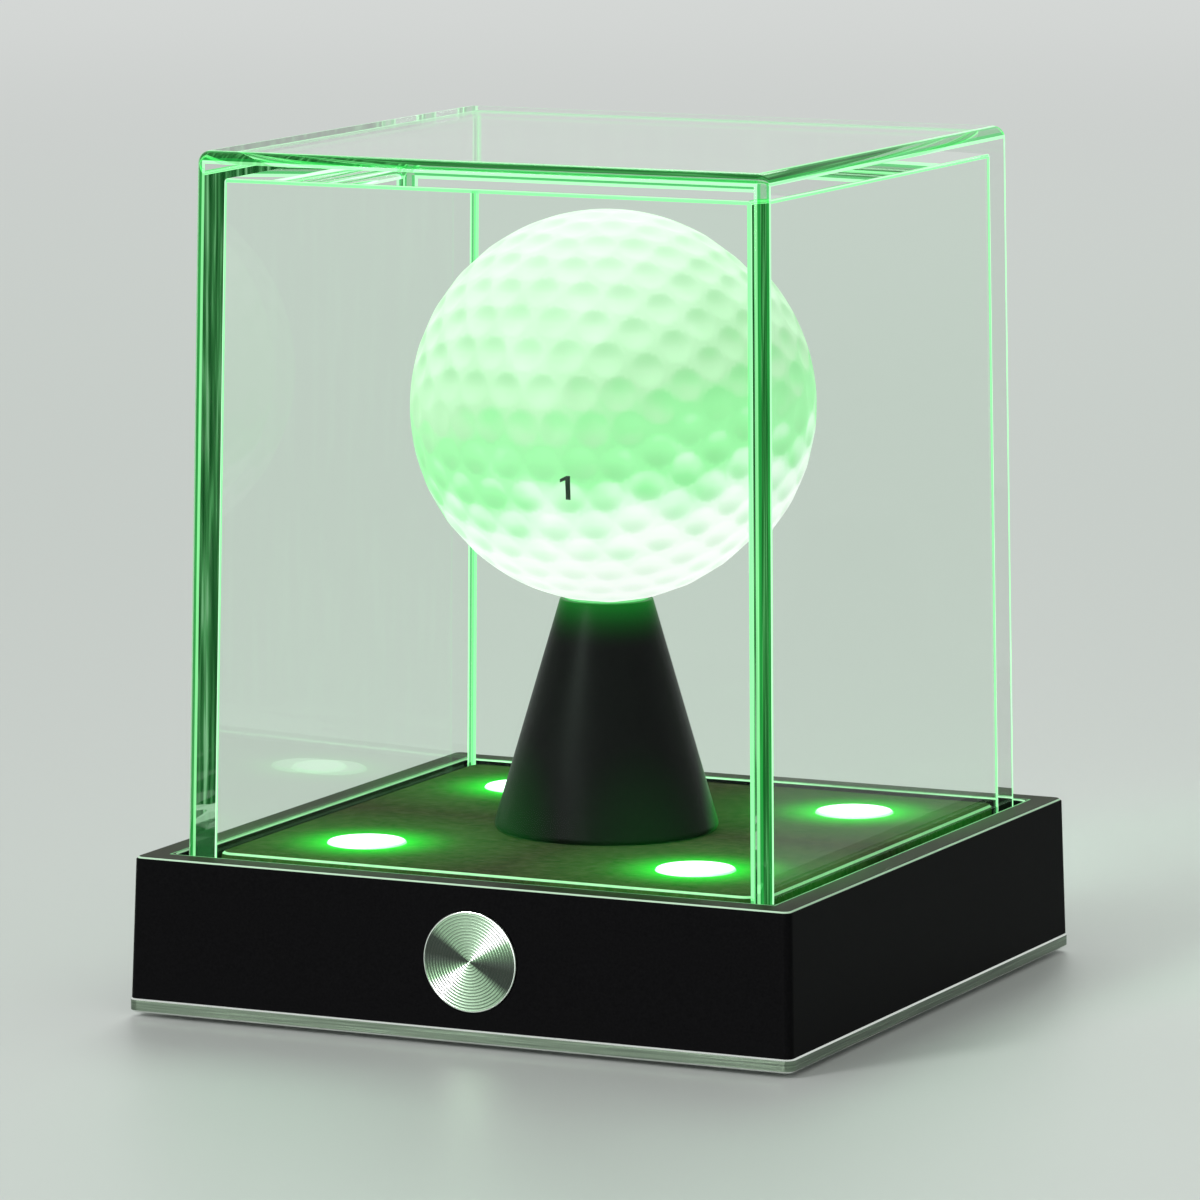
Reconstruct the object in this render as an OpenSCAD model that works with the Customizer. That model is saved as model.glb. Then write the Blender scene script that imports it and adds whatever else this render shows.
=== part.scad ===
// Lit display case for one golf ball: a clear cover over a battery powered base
// with a cone stand, four deck lamps and a push button.
// Origin: middle of the footprint, on the surface the case stands on.
// +X runs along the front face, +Y goes to the back, +Z is up.

/* [Ball] */
// Diameter of the ball
ball_d = 42.67; // [42:0.01:43.5]
// Width of a dimple at the surface
dimple_w = 3.4; // [2.4:0.1:3.5]
// Depth of a dimple
dimple_depth = 0.25; // [0.15:0.01:0.4]
// Free height between the ball and the roof of the cover
headroom = 4.65; // [3:0.05:12]

/* [Clear cover] */
// Outer width of the cover at its open foot
cover_foot_w = 68.4; // [66.5:0.1:69.6]
// How much each side leans in from the foot to the top
cover_taper = 1.2; // [0.4:0.1:2]
// Thickness of the four walls
cover_wall = 2.5; // [1.8:0.1:3]
// Thickness of the roof
roof_t = 3; // [2:0.1:4]
// Radius of the upright corners
cover_corner_r = 1.6; // [1.3:0.1:2.5]
// Radius of the roof's edges
cover_edge_r = 1.2; // [0.8:0.1:1.3]

/* [Base housing] */
// Outer width of the base at its lower edge
base_w = 77.3; // [76.5:0.1:84]
// How much each side leans in from the lower edge to the top
base_taper = 0.45; // [0.2:0.05:0.8]
// Thickness of the side walls at the lower edge
side_wall = 2.65; // [2.4:0.05:3.2]
// Thickness of the web under the deck
web_t = 1.2; // [1:0.1:2]
// Broken edge round the top of the base
rim_chamfer = 0.3; // [0.15:0.05:0.5]
// Gap between the cover and the rim of the base
rim_gap = 0.7; // [0.3:0.1:0.9]
// Thickness of the deck panel
deck_t = 2.3; // [1.8:0.1:3]
// Gap between the deck panel and the inside of the cover
deck_gap = 0.3; // [0.2:0.05:0.6]
// Corner radius of the deck panel
deck_corner_r = 1.5; // [0.8:0.1:3]

/* [Trim and feet] */
// Height of the polished band under the base
trim_h = 1.5; // [1.2:0.1:1.6]
// How far the band stands out past the base
trim_proud = 0.15; // [0.05:0.05:0.4]
// Height that the rubber feet lift the case
foot_h = 0.6; // [0.5:0.1:2]
// Diameter of a foot
foot_d = 9; // [7.6:0.1:10]

/* [Deck lamps] */
// Distance between lamp centres, across and front to back
lamp_pitch = 38.9; // [38:0.1:44]
// Diameter of a lens's head
lens_d = 8.6; // [8:0.1:10]
// Diameter of the lens's light guide in the web
guide_d = 6.4; // [5:0.1:7]
// How far a lens stands above the deck
lens_proud = 0.45; // [0.1:0.05:0.6]
// Width of a lamp's light emitting diode
led_w = 5; // [3.5:0.1:5]
// Thickness of the circuit boards
board_t = 1; // [0.8:0.1:1.6]
// Width of a lamp board
lamp_board_w = 6.8; // [6:0.1:7.2]
// Distance between the two screws of a lamp board
board_screw_pitch = 24; // [18:0.5:30]

/* [Ball stand] */
// Diameter of the cone at the deck
cone_foot_d = 24.4; // [22:0.1:28]
// Diameter of the cone at the ball
cone_top_d = 10.2; // [10.1:0.1:14]
// Height of the cone
cone_h = 25.3; // [22:0.1:40]
// Outer diameter of the cup that carries the ball
seat_d = 9; // [8.6:0.1:9.1]
// How far the cup stands above the cone
seat_lip = 0.05; // [0.05:0.05:0.6]
// Play between the ball and the cup
seat_play = 0.1; // [0.05:0.01:0.2]
// Height of the cup's body
seat_h = 4.5; // [3.5:0.1:6]
// Distance of each stand screw from the middle
stand_screw_r = 8; // [7:0.1:8.5]

/* [Push button] */
// Diameter of the button
button_d = 10.8; // [9:0.1:10.8]
// Play round the button
button_play = 0.1; // [0.05:0.01:0.2]
// Button centre, from the middle of the front face
button_x = 1.9; // [-6:0.1:6]
// Button centre, above the polished band
button_up = 7.2; // [6.4:0.1:7.6]
// Travel of the button
button_travel = 0.8; // [0.4:0.1:1]
// How far the button stands out of the front face
button_proud = 0.25; // [0.1:0.05:1]

/* [Batteries] */
// Diameter of a cell
cell_d = 10.5; // [10:0.1:12]
// Length of a cell with its button end
cell_l = 44.5; // [44:0.1:48]
// Gap round each cell
cell_gap = 0.3; // [0.2:0.05:0.6]
// Room for one contact at each end of the cells
contact_room = 2.75; // [2.3:0.05:3.5]
// Room for the leads above the cells
lead_room = 1.1; // [1.05:0.05:3]
// Thickness of the bottom cover and of the battery door
plate_t = 1.6; // [1.5:0.1:2.4]
// Gap round the battery door
door_gap = 0.2; // [0.1:0.05:0.4]
// Thickness of the battery bay's walls
bay_wall = 1.2; // [0.8:0.1:1.4]
// Height of the battery bay's walls
bay_wall_h = 6.4; // [5:0.1:7]

/* [Hidden] */
$fn = 64;

// Facets of a rounded corner, and the thickness of the discs that carry it
corner_fn = 24;
skin = 0.01;
// Play of a screw in its hole, and how far a cutter runs past a face
hole_play = 0.1;
past = 1;

// Heights, from the surface upwards
plate_top_z = foot_h + plate_t;
trim_top_z = foot_h + trim_h;
cell_z = plate_top_z + cell_gap / 3 + cell_d / 2;
web_low_z = cell_z + cell_d / 2 + lead_room;
deck_low_z = web_low_z + web_t;
deck_z = deck_low_z + deck_t;
cone_top_z = deck_z + cone_h;
seat_top_z = cone_top_z + seat_lip;

// The ball rests in a cup whose hollow has the ball's own centre
ball_r = ball_d / 2;
seat_r = ball_r + seat_play;
ball_z = seat_top_z + sqrt(seat_r * seat_r - seat_d * seat_d / 4);
case_h = ball_z + ball_r + headroom + roof_t;

// Widths of what nests in the base
pocket_w = cover_foot_w + 2 * rim_gap;
deck_w = cover_foot_w - 2 * cover_wall - 2 * deck_gap;
cavity_w = base_w - 2 * side_wall;
bottom_w = cavity_w - 2 * 0.15;
trim_w = base_w + 2 * trim_proud;

// Small screws, M2, and their bosses
screw_d = 1.6;
head_d = 3.6;
head_h = 0.85;
boss_d = 7.6;
boss_xy = cavity_w / 2 - boss_d / 2 + 0.3;
bottom_screw_l = 8;
foot_xy = boss_xy - 1.2;
plate_floor = plate_t - head_h - 0.1;

// Lamp boards hang under the web on short bosses
board_drop = 1.5;
board_top_z = web_low_z - board_drop;
board_end = 8;
board_l = lamp_pitch + 2 * board_end;
led_h = board_drop - 0.1;
guide_low_z = web_low_z + 0.15;
board_boss_d = 4;
board_screw_d = 1.4;
board_screw_l = board_t + board_drop + 0.5;
board_head_d = 3;

// Inside the cone: a bore for the lead, a shelf for the board and a seat for the cup
lead_bore_d = 4.4;
shelf_depth = 4;
shelf_d = seat_d - 1.5;
cup_low_z = seat_top_z - seat_lip - seat_h;
shelf_z = cup_low_z - shelf_depth;
stand_screw_l = web_t + deck_t + 3.5;
stand_screw_a = 138;
stand_led_w = 3.5;
stand_led_h = 1.6;

// Push button on an axis square to the front face
button_z = trim_top_z + button_up;
front_y = -base_half(button_z);
cavity_y = -cavity_w / 2;
cap_front_y = front_y - button_proud;
cap_l = cavity_y - cap_front_y - button_travel - 0.1;
bar_w = button_d + 3.2;
bar_h = 5;
bar_t = 1.2;
bar_y = cavity_y + 0.05;
stem_d = 5;
plunger_d = 3.4;
plunger_play = 0.05;
plunger_hold = 0.9;
switch_w = 6;
switch_t = 3.5;
switch_gap = 0.3;

// The switch board stands just in front of the lamp board, and the stem reaches it
board_gap = 1;
switch_board_w = 14;
switch_board_y = -(lamp_pitch + lamp_board_w) / 2 - board_gap - board_t;
switch_y = switch_board_y - switch_t;
plunger_front_y = switch_y - button_travel - switch_gap;
post_w = 2;

// Battery bay and its door, which turns on two stub pins
cell_pitch = cell_d + cell_gap;
bay_l = cell_l + 2 * contact_room;
bay_w = 3 * cell_pitch + cell_gap;
hinge_r = plate_t / 2;
hinge_x = -bay_l / 2 + door_gap + hinge_r;
hinge_z = foot_h + hinge_r;
pin_d = 1;
pin_l = 0.8;
pin_play = 0.05;
door_w = bay_w - 2 * door_gap;
door_l = bay_l - 2 * door_gap;
notch_r = 4;
notch_depth = 0.9;
grip_pitch = 4;
grip_w = 1.2;
grip_l = 12;
grip_depth = 0.3;
contact_t = 0.4;
contact_w = 8;
contact_pad_d = 5;
contact_strip_h = 2;
cap_end_l = 1;
cap_end_d = 3.8;
cell_x = [for (i = [0:2]) i == 1 ? -1 : 1];
spring_wire = 0.4;
spring_turns = 3;
lead_d = 0.8;
lead_bend = 2 * lead_d;

// Where a lead is soldered to a contact: a corner of the plate, clear of the spring.
// On a board it is soldered a little way in from the edge.
solder_y = contact_w / 2 - lead_d;
solder_z = cell_z + contact_w / 2 - 1.4;
solder_in = 1.5;

function base_half(z) = base_w / 2 - base_taper * (z - trim_top_z) / (deck_z - trim_top_z);
function unit(v) = v / norm(v);

// Cuts the corners off a run of points, so that a lead bends softly
function eased(points, times = 2) = times == 0 ? points : eased(concat(
    [points[0]],
    [for (i = [0:len(points) - 2], t = [0.25, 0.75]) points[i] * (1 - t) + points[i + 1] * t],
    [points[len(points) - 1]]), times - 1);

// Directions in which the dimples sit: a geodesic grid on the twenty faces of an icosahedron.
// Weights that follow the sine of the angle space them evenly.
golden = (1 + sqrt(5)) / 2;
dimple_rows = 6;
row_angle = atan(2) / dimple_rows;
corners = [
    for (a = [-1, 1], b = [-golden, golden]) each [[0, a, b], [a, b, 0], [b, 0, a]]
];
function linked(a, b) = norm(corners[a] - corners[b]) < 2.01;
edges = [for (a = [0:10], b = [a + 1:11]) if (linked(a, b)) [a, b]];
faces = [for (e = edges, c = [e[1] + 1:1:11]) if (linked(e[0], c) && linked(e[1], c)) [e[0], e[1], c]];
dimples = concat(
    [for (c = corners) unit(c)],
    [for (e = edges, i = [1:dimple_rows - 1])
        unit(corners[e[0]] * sin(i * row_angle) + corners[e[1]] * sin((dimple_rows - i) * row_angle))],
    [for (f = faces, i = [1:dimple_rows - 2], j = [1:dimple_rows - 1 - i])
        unit(
            corners[f[0]] * sin(i * row_angle) + corners[f[1]] * sin(j * row_angle)
            + corners[f[2]] * sin((dimple_rows - i - j) * row_angle)
        )]
);

// A square block that changes width with height. Each level is [half width, height, corner radius].
module square_loft(levels) {
    top = len(levels) - 1;
    hull()
        for (i = [0:top], x = [-1, 1], y = [-1, 1]) {
            half = levels[i][0] - levels[i][2];
            translate([x * half, y * half, levels[i][1] - (i == top ? skin : 0)])
                cylinder(r = levels[i][2], h = skin, $fn = corner_fn);
        }
}

// A box by its lowest and highest corners
module box(low, high) {
    translate(low) cube(high - low);
}

// A cylinder along +Z from one height to another
module post(d, low, high) {
    translate([0, 0, low]) cylinder(d = d, h = high - low);
}

// A cylinder along +Y from one place to another
module rod_y(d, low, high) {
    translate([0, low, 0]) rotate([-90, 0, 0]) cylinder(d = d, h = high - low);
}

// A round tube that follows points. No stretch runs along the side vector.
module lead(points, side) {
    path = eased(points);
    last = len(path) - 1;
    sides = 6;
    rings = [for (i = [0:last])
        let (t = unit(path[min(i + 1, last)] - path[max(i - 1, 0)]))
        let (u = unit(cross(t, side)), v = cross(t, u))
        for (s = [0:sides - 1])
            path[i] + (u * cos(360 * s / sides) + v * sin(360 * s / sides)) * lead_d / 2];
    polyhedron(rings, concat(
        [[for (s = [0:sides - 1]) s]],
        [for (i = [0:last - 1], s = [0:sides - 1])
            let (a = i * sides + s, b = i * sides + (s + 1) % sides)
            each [[a, a + sides, b + sides], [a, b + sides, b]]],
        [[for (s = [sides - 1:-1:0]) last * sides + s]]));
}

// Puts its children at the four lamp places
module at_lamp(x, y) {
    translate([x * lamp_pitch / 2, y * lamp_pitch / 2, 0]) children();
}

module at_lamps() {
    for (x = [-1, 1], y = [-1, 1]) at_lamp(x, y) children();
}

module at_bosses() {
    for (x = [-1, 1], y = [-1, 1]) translate([x * boss_xy, y * boss_xy, 0]) children();
}

module at_board_screws() {
    for (x = [-1, 1], y = [-1, 1])
        translate([x * board_screw_pitch / 2, y * lamp_pitch / 2, 0]) children();
}

module at_stand_screws() {
    for (turn = [0, 180])
        rotate(stand_screw_a + turn) translate([stand_screw_r, 0, 0]) children();
}

module at_button() {
    translate([button_x, 0, button_z]) children();
}

// Hollow for a fingernail, shared by the battery door and the edge it meets
module nail_notch() {
    translate([bay_l / 2, 0, foot_h + notch_depth - notch_r]) sphere(r = notch_r);
}

// Corner of the cover: upright at its foot and rounded over at the roof
module cover_corner(r, low, high) {
    steps = 6;
    rotate_extrude($fn = corner_fn)
        polygon(concat(
            [[0, low], [r, low]],
            [for (i = [0:steps]) [r * cos(90 * i / steps), high - r + r * sin(90 * i / steps)]]
        ));
}

module cover() {
    foot = cover_foot_w / 2;
    top = foot - cover_taper;
    color("aliceblue", 0.3)
        difference() {
            hull()
                for (x = [-1, 1], y = [-1, 1]) {
                    translate([x * (foot - cover_corner_r), y * (foot - cover_corner_r), deck_low_z])
                        cylinder(r = cover_corner_r, h = 0.1, $fn = corner_fn);
                    translate([x * (top - cover_edge_r), y * (top - cover_edge_r), 0])
                        cover_corner(cover_edge_r, case_h - 2 * cover_edge_r, case_h);
                }
            square_loft([
                [foot - cover_wall, deck_low_z - past, 0.6],
                [top - cover_wall, case_h - roof_t, 0.6]
            ]);
        }
}

module base_housing() {
    pocket = pocket_w / 2;
    color("#161617")
        difference() {
            union() {
                difference() {
                    square_loft([
                        [base_w / 2, trim_top_z, 0.9],
                        [base_half(deck_z - rim_chamfer), deck_z - rim_chamfer, 0.9],
                        [base_half(deck_z) - rim_chamfer, deck_z, 0.7]
                    ]);
                    box([-cavity_w / 2, -cavity_w / 2, trim_top_z - past], [cavity_w / 2, cavity_w / 2, web_low_z]);
                }
                at_bosses() post(boss_d, plate_top_z, web_low_z + web_t / 2);
                at_board_screws() post(board_boss_d, board_top_z, web_low_z + web_t / 2);
            }
            square_loft([[pocket, deck_low_z, 1.2], [pocket, deck_z + past, 1.2]]);
            square_loft([
                [pocket, deck_z - rim_chamfer, 1.2],
                [pocket + rim_chamfer + past, deck_z + past, 1.2]
            ]);
            at_lamps() post(guide_d + 2 * hole_play, web_low_z - past, deck_z);
            post(lead_bore_d, web_low_z - past, deck_z);
            at_stand_screws() post(screw_d + 2 * hole_play, web_low_z - past, deck_z);
            at_bosses() post(screw_d + hole_play, plate_top_z - past, plate_top_z + bottom_screw_l);
            at_board_screws() post(board_screw_d + hole_play, board_top_z - past, board_top_z + board_drop + 0.8);
            at_button() rod_y(button_d + 2 * button_play, front_y - past, cavity_y + 0.02);
        }
}

module deck_panel() {
    color("#3b3a35")
        difference() {
            square_loft([
                [deck_w / 2, deck_low_z, deck_corner_r],
                [deck_w / 2, deck_z - rim_chamfer, deck_corner_r],
                [deck_w / 2 - rim_chamfer, deck_z, deck_corner_r - 0.2]
            ]);
            at_lamps() post(lens_d + hole_play, deck_low_z - past, deck_z + past);
            post(lead_bore_d, deck_low_z - past, deck_z + past);
            at_stand_screws() post(screw_d + 2 * hole_play, deck_low_z - past, deck_z + past);
        }
}

module trim_band() {
    edge = 0.2;
    inside = bottom_w / 2 + 0.3;
    color("silver")
        difference() {
            square_loft([
                [trim_w / 2 - edge, foot_h, 0.9],
                [trim_w / 2, foot_h + edge, 1.1],
                [trim_w / 2, trim_top_z - edge, 1.1],
                [trim_w / 2 - edge, trim_top_z, 0.9]
            ]);
            box([-inside, -inside, foot_h - past], [inside, inside, trim_top_z + past]);
        }
}

// Bottom cover with the battery bay, its door opening and the switch board's posts
module bottom_cover() {
    half = bottom_w / 2;
    wall_x = bay_l / 2;
    wall_y = bay_w / 2;
    wall_z = plate_top_z + bay_wall_h;
    color("#1b1b1c")
        difference() {
            union() {
                box([-half, -half, foot_h], [half, half, plate_top_z]);
                box([-wall_x - bay_wall, -wall_y - bay_wall, foot_h], [wall_x + bay_wall, wall_y + bay_wall, wall_z]);
                for (side = [-1, 1])
                    translate([button_x + side * (switch_board_w / 2 + post_w / 2 + 0.1), switch_board_y + board_t / 2, 0])
                        box([-post_w / 2, -2, foot_h], [post_w / 2, 2, wall_z]);
            }
            box([-wall_x, -wall_y, foot_h - past], [wall_x, wall_y, wall_z + past]);
            translate([hinge_x, 0, hinge_z])
                rod_y(pin_d + 2 * pin_play, -door_w / 2 - pin_l - 0.1, door_w / 2 + pin_l + 0.1);
            nail_notch();
            at_bosses() post(screw_d + 2 * hole_play, foot_h - past, plate_top_z + past);
            at_bosses() post(head_d + 2 * hole_play, foot_h - past, plate_top_z - plate_floor);
        }
}

// Pan head screws point up. Height is where the head meets the plate it holds.
module screw(d, head, height, length) {
    post(head, height - head_h, height);
    post(d, height - head_h / 2, height + length);
}

module bottom_screws() {
    color("silver") at_bosses() screw(screw_d, head_d, plate_top_z - plate_floor, bottom_screw_l - 1);
}

module board_screws() {
    color("silver")
        at_board_screws() screw(board_screw_d, board_head_d, board_top_z - board_t, board_screw_l);
}

module stand_screws() {
    color("silver")
        at_stand_screws() screw(screw_d, head_d, web_low_z, stand_screw_l);
}

module feet() {
    color("#202020")
        for (x = [-1, 1], y = [-1, 1])
            translate([x * foot_xy, y * foot_xy, 0])
                rotate_extrude()
                    polygon([[0, 0], [foot_d / 2 - 0.3, 0], [foot_d / 2, 0.3], [foot_d / 2, foot_h], [0, foot_h]]);
}

// Clear lens: a round head in the deck on a light guide through the web
module lens(x, y) {
    top = deck_z + lens_proud;
    color("honeydew")
        at_lamp(x, y)
            rotate_extrude()
                polygon([
                    [0, guide_low_z], [guide_d / 2, guide_low_z], [guide_d / 2, deck_low_z],
                    [lens_d / 2, deck_low_z], [lens_d / 2, top - 0.25], [lens_d / 2 - 0.35, top - 0.04],
                    [lens_d / 2 - 0.7, top], [0, top]
                ]);
}

// Square package with a round window for the chip
module led(w, low, h) {
    difference() {
        box([-w / 2, -w / 2, low], [w / 2, w / 2, low + h]);
        post(0.76 * w, low + h - 0.3, low + h + past);
    }
}

module lamp_led(x, y) {
    color("white") at_lamp(x, y) led(led_w, board_top_z, led_h);
}

module lamp_board(y) {
    mid = y * lamp_pitch / 2;
    low = board_top_z - board_t;
    color("darkgreen")
        difference() {
            box([-board_l / 2, mid - lamp_board_w / 2, low], [board_l / 2, mid + lamp_board_w / 2, board_top_z]);
            at_board_screws() post(board_screw_d + 2 * hole_play, low - past, board_top_z + past);
        }
}

module stand_cone() {
    foot_round = 0.7;
    color("#151917")
        difference() {
            rotate_extrude()
                polygon([
                    [0, deck_z], [cone_foot_d / 2 - foot_round / 2, deck_z], [cone_foot_d / 2, deck_z + foot_round / 2],
                    [cone_foot_d / 2 - 0.1, deck_z + foot_round], [cone_top_d / 2, cone_top_z - 0.15],
                    [cone_top_d / 2 - 0.15, cone_top_z], [0, cone_top_z]
                ]);
            post(lead_bore_d, deck_z - past, shelf_z + past);
            post(shelf_d, shelf_z, cup_low_z + past);
            post(seat_d + hole_play, cup_low_z, cone_top_z + past);
            at_stand_screws() post(screw_d + hole_play, deck_z - past, deck_z + 4);
        }
}

// Milky cup that passes the stand's light into the ball
module ball_seat() {
    color("palegreen")
        difference() {
            post(seat_d, cup_low_z, seat_top_z);
            translate([0, 0, ball_z]) sphere(r = seat_r, $fn = 96);
        }
}

module stand_led() {
    color("white") led(stand_led_w, shelf_z + board_t, stand_led_h);
}

module stand_led_board() {
    color("darkgreen") post(shelf_d - hole_play, shelf_z, shelf_z + board_t);
}

// Two wires from the stand's board, over the cells, to the back lamp board
module stand_lead() {
    over_z = web_low_z - lead_room / 2;
    land_y = lamp_pitch / 2 - lamp_board_w / 2 + solder_in;
    color("firebrick")
        for (x = [-0.6, 0.6])
            lead([
                [x, 0, shelf_z], [x, 0, deck_z], [x, 0, over_z + lead_d / 2], [x, lead_bend, over_z],
                [x, land_y / 2, over_z], [x, land_y - lead_bend, over_z], [x, land_y, over_z],
                [x, land_y, board_top_z]
            ], [1, 0, 0]);
}

// Each dimple is a shallow cone with a flat floor. Its cutter only just clears the ball,
// so that no two cutters meet.
module golf_ball() {
    rim = sqrt(ball_r * ball_r - dimple_w * dimple_w / 4);
    bank = 0.4;
    deep = dimple_depth - (ball_r - rim);
    tall = dimple_depth + 0.02;
    floor_r = dimple_w / 2 - bank;
    color("ghostwhite")
        translate([0, 0, ball_z])
            difference() {
                sphere(r = ball_r, $fn = 96);
                for (p = dimples)
                    rotate([0, acos(p[2]), atan2(p[1], p[0])])
                        translate([0, 0, rim - deep])
                            cylinder(h = tall, r1 = floor_r, r2 = floor_r + tall * bank / deep, $fn = 24);
            }
}

module button_cap() {
    edge = 0.25;
    color("silver")
        at_button()
            translate([0, cap_front_y, 0]) rotate([-90, 0, 0]) rotate_extrude()
                polygon([
                    [0, 0.12], [1.2, 0.06], [button_d / 2 - 1, 0], [button_d / 2 - edge, 0],
                    [button_d / 2, edge], [button_d / 2, cap_l], [0, cap_l]
                ]);
}

// Stem with the cross bar that keeps the button in its hole
module button_stem() {
    color("#2a2a2a")
        at_button()
            union() {
                rod_y(stem_d, cap_front_y + cap_l, plunger_front_y);
                box([-bar_w / 2, bar_y, -bar_h / 2], [bar_w / 2, bar_y + bar_t, bar_h / 2]);
            }
}

module switch_plunger() {
    color("#303030") at_button() rod_y(plunger_d, plunger_front_y, switch_y + plunger_hold);
}

module switch_body() {
    color("#2b2b2d")
        at_button()
            difference() {
                box([-switch_w / 2, switch_y, -switch_w / 2], [switch_w / 2, switch_board_y, switch_w / 2]);
                rod_y(plunger_d + 2 * plunger_play, switch_y - past, switch_y + plunger_hold + button_travel + 0.2);
            }
}

module switch_board() {
    color("darkgreen")
        translate([button_x, 0, 0])
            box(
                [-switch_board_w / 2, switch_board_y, plate_top_z],
                [switch_board_w / 2, switch_board_y + board_t, button_z + switch_w / 2 + 0.3]
            );
}

// A cell lies along X. Row -1 is the front one, and its button end points to turn.
module battery_cell(row) {
    way = row == 0 ? -1 : 1;
    r = cell_d / 2;
    half = cell_l / 2;
    color("dimgray")
        translate([0, row * cell_pitch, cell_z]) rotate([0, 90 * way, 0])
            rotate_extrude()
                polygon([
                    [0, -half + 0.2], [3, -half + 0.2], [3.3, -half], [r - 0.4, -half], [r, -half + 0.4],
                    [r, half - cap_end_l - 0.5], [r - 0.5, half - cap_end_l], [cap_end_d / 2, half - cap_end_l],
                    [cap_end_d / 2, half - 0.2], [cap_end_d / 2 - 0.2, half], [0, half]
                ]);
}

// One cone spring, wound towards +X, from the contact plate to the cell
module cone_spring() {
    depth = contact_room - contact_t - spring_wire;
    wide = 3.2;
    narrow = 1.5;
    steps = 12 * spring_turns;
    sides = 6;
    rings = [for (i = [0:steps])
        let (a = 360 * spring_turns * i / steps, r = wide + (narrow - wide) * i / steps)
        for (s = [0:sides - 1])
            let (out = r + spring_wire / 2 * cos(360 * s / sides))
            [
                spring_wire / 2 + depth * i / steps + spring_wire / 2 * sin(360 * s / sides),
                out * cos(a),
                out * sin(a)
            ]];
    polyhedron(rings, concat(
        [[for (s = [sides - 1:-1:0]) s]],
        [for (i = [0:steps - 1], s = [0:sides - 1])
            let (a = i * sides + s, b = i * sides + (s + 1) % sides)
            each [[a, b, b + sides], [a, b + sides, a + sides]]],
        [[for (s = [0:sides - 1]) steps * sides + s]]));
}

module battery_springs() {
    color("silver")
        for (row = [-1:1]) {
            way = row == 0 ? -1 : 1;
            translate([-way * (bay_l / 2 - contact_t), row * cell_pitch, cell_z])
                mirror([way < 0 ? 1 : 0, 0, 0]) cone_spring();
        }
}

// Plates on the end walls: flat behind each spring, with a raised pad at each button end.
// Strips join two neighbours at either end, so that the cells are in series.
module battery_contacts() {
    plate_x = bay_l / 2 - contact_t;
    half = contact_w / 2;
    color("silver") {
        for (row = [-1:1], side = [-1, 1]) {
            way = row == 0 ? -1 : 1;
            translate([0, row * cell_pitch, cell_z]) mirror([side < 0 ? 1 : 0, 0, 0])
                union() {
                    box([plate_x, -half, -half], [bay_l / 2, half, half]);
                    if (way == side)
                        translate([cell_l / 2, 0, 0]) rotate([0, 90, 0])
                            cylinder(d = contact_pad_d, h = contact_room - contact_t + 0.1);
                }
        }
        for (side = [-1, 1])
            translate([0, -side * cell_pitch / 2, cell_z]) mirror([side < 0 ? 1 : 0, 0, 0])
                box(
                    [plate_x, -cell_pitch / 2 + half - 0.1, -contact_strip_h / 2],
                    [bay_l / 2, cell_pitch / 2 - half + 0.1, contact_strip_h / 2]
                );
    }
}

// Door of the battery bay. Its round end turns about the pins, and the far end has a nail notch.
module battery_door() {
    end_x = hinge_x - hinge_r;
    color("#1b1b1c")
        difference() {
            union() {
                box([hinge_x, -door_w / 2, foot_h], [end_x + door_l, door_w / 2, plate_top_z]);
                translate([hinge_x, 0, hinge_z]) {
                    rod_y(plate_t, -door_w / 2, door_w / 2);
                    rod_y(pin_d, -door_w / 2 - pin_l, door_w / 2 + pin_l);
                }
            }
            nail_notch();
            for (i = [-2:2])
                translate([i * grip_pitch, 0, 0])
                    box([-grip_w / 2, -grip_l / 2, foot_h - past], [grip_w / 2, grip_l / 2, foot_h + grip_depth]);
        }
}

// Leads of the circuit: front contact, switch board, front lamp board, back lamp board, back contact
module battery_leads() {
    start_x = bay_l / 2 - contact_t;
    start_y = cell_pitch + solder_y;
    turn_x = start_x - 1.5 * lead_d;
    lane_y = switch_board_y + board_t + lead_bend;
    board_x = switch_board_w / 2 - solder_in;
    board_z = board_top_z - board_t;
    link_x = board_l / 2 - solder_in;
    link_y = lamp_pitch / 2 - lamp_board_w / 2 + lead_d;
    link_z = board_top_z + lead_d;
    back_y = lamp_pitch / 2 - lamp_board_w / 2 + lead_bend;
    color("firebrick") {
        lead([
            [-start_x, -start_y, solder_z], [-turn_x, -start_y, solder_z], [-turn_x, lane_y, solder_z],
            [button_x - board_x - 2 * lead_bend, lane_y, solder_z], [button_x - board_x, lane_y, solder_z],
            [button_x - board_x, switch_board_y + board_t, solder_z]
        ], [0, 0, 1]);
        lead([
            [button_x + board_x, switch_board_y + board_t, solder_z - lead_d],
            [button_x + board_x, lane_y + lead_d, solder_z - lead_d],
            [button_x + board_x, lane_y + lead_d, board_z]
        ], [1, 0, 0]);
        lead([
            [link_x, -link_y, board_top_z], [link_x, -link_y, link_z], [link_x, -link_y + 2 * lead_bend, link_z],
            [link_x, 0, board_top_z], [link_x, link_y - 2 * lead_bend, link_z], [link_x, link_y, link_z],
            [link_x, link_y, board_top_z]
        ], [1, 0, 0]);
        lead([
            [start_x, start_y, solder_z], [turn_x, start_y, solder_z], [turn_x, back_y, solder_z],
            [turn_x, back_y, board_z]
        ], [1, -1, 1]);
    }
}

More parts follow.
